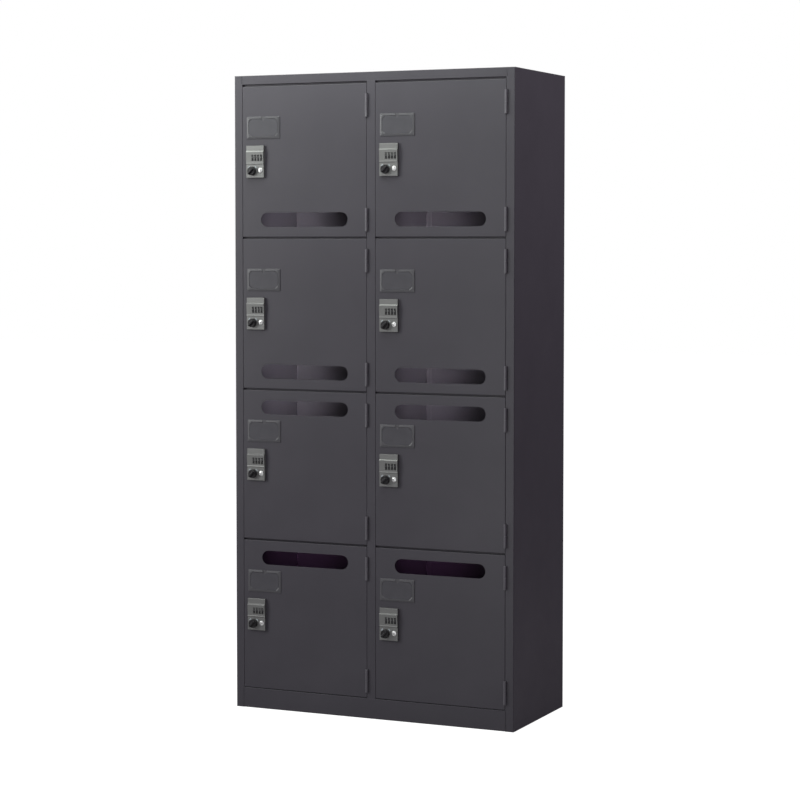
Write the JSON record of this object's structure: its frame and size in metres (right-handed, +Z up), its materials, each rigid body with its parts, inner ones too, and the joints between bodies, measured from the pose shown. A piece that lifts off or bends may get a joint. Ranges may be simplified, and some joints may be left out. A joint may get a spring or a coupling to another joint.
{
  "type": "parcel locker",
  "caption": "Free-standing steel locker in two columns: flush hinged doors with letter slots, card holders and combination locks.",
  "frame": {"origin": "bottom centre of the whole object's box, on the floor", "axes": "+Z up, the doors and locks face -Y, +X to the right as seen from the front"},
  "size_m": [0.85, 0.403, 1.79],
  "materials": {
    "powder_coated_steel": "fine-textured charcoal powder coat, satin",
    "card_plastic": "dark moulded frame with a clear glossy window",
    "lock_case_grey": "satin grey die-cast case",
    "dial_black": "black moulded wheels with light digits",
    "knob_black": "satin black moulding on a zinc-plated cam",
    "key_chrome": "bright plated cylinder",
    "zinc_plate": "dull zinc plating on the cam and the axle",
    "clear_window": "clear glossy plastic sheet",
    "white_mark": "pale filled marks and digits"
  },
  "bodies": {
    "carcass": {"left_side_panel": "powder_coated_steel", "right_side_panel": "powder_coated_steel", "top_panel": "powder_coated_steel", "back_panel": "powder_coated_steel", "centre_partition": "powder_coated_steel", "base_pan": "powder_coated_steel", "left_shelf_1": "powder_coated_steel", "left_shelf_2": "powder_coated_steel", "left_shelf_3": "powder_coated_steel", "right_shelf_1": "powder_coated_steel", "right_shelf_2": "powder_coated_steel", "right_shelf_3": "powder_coated_steel"},
    "left_door_1": {"left_door_1": "powder_coated_steel", "left_card_holder_1": "card_plastic", "left_lock_case_1": "lock_case_grey"},
    "left_latch_knob_1": {"left_latch_knob_1": "knob_black"},
    "left_key_cylinder_1": {"left_key_cylinder_1": "key_chrome"},
    "left_dial_wheels_1": {"left_dial_wheels_1": "dial_black"},
    "left_door_2": {"left_door_2": "powder_coated_steel", "left_card_holder_2": "card_plastic", "left_lock_case_2": "lock_case_grey"},
    "left_latch_knob_2": {"left_latch_knob_2": "knob_black"},
    "left_key_cylinder_2": {"left_key_cylinder_2": "key_chrome"},
    "left_dial_wheels_2": {"left_dial_wheels_2": "dial_black"},
    "left_door_3": {"left_door_3": "powder_coated_steel", "left_card_holder_3": "card_plastic", "left_lock_case_3": "lock_case_grey"},
    "left_latch_knob_3": {"left_latch_knob_3": "knob_black"},
    "left_key_cylinder_3": {"left_key_cylinder_3": "key_chrome"},
    "left_dial_wheels_3": {"left_dial_wheels_3": "dial_black"},
    "left_door_4": {"left_door_4": "powder_coated_steel", "left_card_holder_4": "card_plastic", "left_lock_case_4": "lock_case_grey"},
    "left_latch_knob_4": {"left_latch_knob_4": "knob_black"},
    "left_key_cylinder_4": {"left_key_cylinder_4": "key_chrome"},
    "left_dial_wheels_4": {"left_dial_wheels_4": "dial_black"},
    "right_door_1": {"right_door_1": "powder_coated_steel", "right_card_holder_1": "card_plastic", "right_lock_case_1": "lock_case_grey"},
    "right_latch_knob_1": {"right_latch_knob_1": "knob_black"},
    "right_key_cylinder_1": {"right_key_cylinder_1": "key_chrome"},
    "right_dial_wheels_1": {"right_dial_wheels_1": "dial_black"},
    "right_door_2": {"right_door_2": "powder_coated_steel", "right_card_holder_2": "card_plastic", "right_lock_case_2": "lock_case_grey"},
    "right_latch_knob_2": {"right_latch_knob_2": "knob_black"},
    "right_key_cylinder_2": {"right_key_cylinder_2": "key_chrome"},
    "right_dial_wheels_2": {"right_dial_wheels_2": "dial_black"},
    "right_door_3": {"right_door_3": "powder_coated_steel", "right_card_holder_3": "card_plastic", "right_lock_case_3": "lock_case_grey"},
    "right_latch_knob_3": {"right_latch_knob_3": "knob_black"},
    "right_key_cylinder_3": {"right_key_cylinder_3": "key_chrome"},
    "right_dial_wheels_3": {"right_dial_wheels_3": "dial_black"},
    "right_door_4": {"right_door_4": "powder_coated_steel", "right_card_holder_4": "card_plastic", "right_lock_case_4": "lock_case_grey"},
    "right_latch_knob_4": {"right_latch_knob_4": "knob_black"},
    "right_key_cylinder_4": {"right_key_cylinder_4": "key_chrome"},
    "right_dial_wheels_4": {"right_dial_wheels_4": "dial_black"}
  },
  "joints": [
    {"name": "left_door_1_hinge", "type": "hinge", "parent": "carcass", "child": "left_door_1", "pos_m": [-0.01275, -0.1805, 1.54875], "axis": [0, 0, 1], "range_deg": [0, 110]},
    {"name": "left_latch_knob_1_turn", "type": "hinge", "parent": "left_door_1", "child": "left_latch_knob_1", "pos_m": [-0.3654, -0.1865, 1.52275], "axis": [0, 1, 0], "range_deg": [0, 90]},
    {"name": "left_key_cylinder_1_turn", "type": "hinge", "parent": "left_door_1", "child": "left_key_cylinder_1", "pos_m": [-0.3395, -0.1865, 1.52475], "axis": [0, 1, 0], "range_deg": [0, 90]},
    {"name": "left_dial_wheels_1_spin", "type": "hinge", "parent": "left_door_1", "child": "left_dial_wheels_1", "pos_m": [-0.3499, -0.1785, 1.55975], "axis": [1, 0, 0], "continuous": true},
    {"name": "left_door_2_hinge", "type": "hinge", "parent": "carcass", "child": "left_door_2", "pos_m": [-0.01275, -0.1805, 1.12225], "axis": [0, 0, 1], "range_deg": [0, 110]},
    {"name": "left_latch_knob_2_turn", "type": "hinge", "parent": "left_door_2", "child": "left_latch_knob_2", "pos_m": [-0.3654, -0.1865, 1.09625], "axis": [0, 1, 0], "range_deg": [0, 90]},
    {"name": "left_key_cylinder_2_turn", "type": "hinge", "parent": "left_door_2", "child": "left_key_cylinder_2", "pos_m": [-0.3395, -0.1865, 1.09825], "axis": [0, 1, 0], "range_deg": [0, 90]},
    {"name": "left_dial_wheels_2_spin", "type": "hinge", "parent": "left_door_2", "child": "left_dial_wheels_2", "pos_m": [-0.3499, -0.1785, 1.13325], "axis": [1, 0, 0], "continuous": true},
    {"name": "left_door_3_hinge", "type": "hinge", "parent": "carcass", "child": "left_door_3", "pos_m": [-0.01275, -0.1805, 0.69575], "axis": [0, 0, 1], "range_deg": [0, 110]},
    {"name": "left_latch_knob_3_turn", "type": "hinge", "parent": "left_door_3", "child": "left_latch_knob_3", "pos_m": [-0.3654, -0.1865, 0.66975], "axis": [0, 1, 0], "range_deg": [0, 90]},
    {"name": "left_key_cylinder_3_turn", "type": "hinge", "parent": "left_door_3", "child": "left_key_cylinder_3", "pos_m": [-0.3395, -0.1865, 0.67175], "axis": [0, 1, 0], "range_deg": [0, 90]},
    {"name": "left_dial_wheels_3_spin", "type": "hinge", "parent": "left_door_3", "child": "left_dial_wheels_3", "pos_m": [-0.3499, -0.1785, 0.70675], "axis": [1, 0, 0], "continuous": true},
    {"name": "left_door_4_hinge", "type": "hinge", "parent": "carcass", "child": "left_door_4", "pos_m": [-0.01275, -0.1805, 0.26925], "axis": [0, 0, 1], "range_deg": [0, 110]},
    {"name": "left_latch_knob_4_turn", "type": "hinge", "parent": "left_door_4", "child": "left_latch_knob_4", "pos_m": [-0.3654, -0.1865, 0.24325], "axis": [0, 1, 0], "range_deg": [0, 90]},
    {"name": "left_key_cylinder_4_turn", "type": "hinge", "parent": "left_door_4", "child": "left_key_cylinder_4", "pos_m": [-0.3395, -0.1865, 0.24525], "axis": [0, 1, 0], "range_deg": [0, 90]},
    {"name": "left_dial_wheels_4_spin", "type": "hinge", "parent": "left_door_4", "child": "left_dial_wheels_4", "pos_m": [-0.3499, -0.1785, 0.28025], "axis": [1, 0, 0], "continuous": true},
    {"name": "right_door_1_hinge", "type": "hinge", "parent": "carcass", "child": "right_door_1", "pos_m": [0.40025, -0.1805, 1.54875], "axis": [0, 0, 1], "range_deg": [0, 110]},
    {"name": "right_latch_knob_1_turn", "type": "hinge", "parent": "right_door_1", "child": "right_latch_knob_1", "pos_m": [0.0476, -0.1865, 1.52275], "axis": [0, 1, 0], "range_deg": [0, 90]},
    {"name": "right_key_cylinder_1_turn", "type": "hinge", "parent": "right_door_1", "child": "right_key_cylinder_1", "pos_m": [0.0735, -0.1865, 1.52475], "axis": [0, 1, 0], "range_deg": [0, 90]},
    {"name": "right_dial_wheels_1_spin", "type": "hinge", "parent": "right_door_1", "child": "right_dial_wheels_1", "pos_m": [0.0631, -0.1785, 1.55975], "axis": [1, 0, 0], "continuous": true},
    {"name": "right_door_2_hinge", "type": "hinge", "parent": "carcass", "child": "right_door_2", "pos_m": [0.40025, -0.1805, 1.12225], "axis": [0, 0, 1], "range_deg": [0, 110]},
    {"name": "right_latch_knob_2_turn", "type": "hinge", "parent": "right_door_2", "child": "right_latch_knob_2", "pos_m": [0.0476, -0.1865, 1.09625], "axis": [0, 1, 0], "range_deg": [0, 90]},
    {"name": "right_key_cylinder_2_turn", "type": "hinge", "parent": "right_door_2", "child": "right_key_cylinder_2", "pos_m": [0.0735, -0.1865, 1.09825], "axis": [0, 1, 0], "range_deg": [0, 90]},
    {"name": "right_dial_wheels_2_spin", "type": "hinge", "parent": "right_door_2", "child": "right_dial_wheels_2", "pos_m": [0.0631, -0.1785, 1.13325], "axis": [1, 0, 0], "continuous": true},
    {"name": "right_door_3_hinge", "type": "hinge", "parent": "carcass", "child": "right_door_3", "pos_m": [0.40025, -0.1805, 0.69575], "axis": [0, 0, 1], "range_deg": [0, 110]},
    {"name": "right_latch_knob_3_turn", "type": "hinge", "parent": "right_door_3", "child": "right_latch_knob_3", "pos_m": [0.0476, -0.1865, 0.66975], "axis": [0, 1, 0], "range_deg": [0, 90]},
    {"name": "right_key_cylinder_3_turn", "type": "hinge", "parent": "right_door_3", "child": "right_key_cylinder_3", "pos_m": [0.0735, -0.1865, 0.67175], "axis": [0, 1, 0], "range_deg": [0, 90]},
    {"name": "right_dial_wheels_3_spin", "type": "hinge", "parent": "right_door_3", "child": "right_dial_wheels_3", "pos_m": [0.0631, -0.1785, 0.70675], "axis": [1, 0, 0], "continuous": true},
    {"name": "right_door_4_hinge", "type": "hinge", "parent": "carcass", "child": "right_door_4", "pos_m": [0.40025, -0.1805, 0.26925], "axis": [0, 0, 1], "range_deg": [0, 110]},
    {"name": "right_latch_knob_4_turn", "type": "hinge", "parent": "right_door_4", "child": "right_latch_knob_4", "pos_m": [0.0476, -0.1865, 0.24325], "axis": [0, 1, 0], "range_deg": [0, 90]},
    {"name": "right_key_cylinder_4_turn", "type": "hinge", "parent": "right_door_4", "child": "right_key_cylinder_4", "pos_m": [0.0735, -0.1865, 0.24525], "axis": [0, 1, 0], "range_deg": [0, 90]},
    {"name": "right_dial_wheels_4_spin", "type": "hinge", "parent": "right_door_4", "child": "right_dial_wheels_4", "pos_m": [0.0631, -0.1785, 0.28025], "axis": [1, 0, 0], "continuous": true}
  ]
}
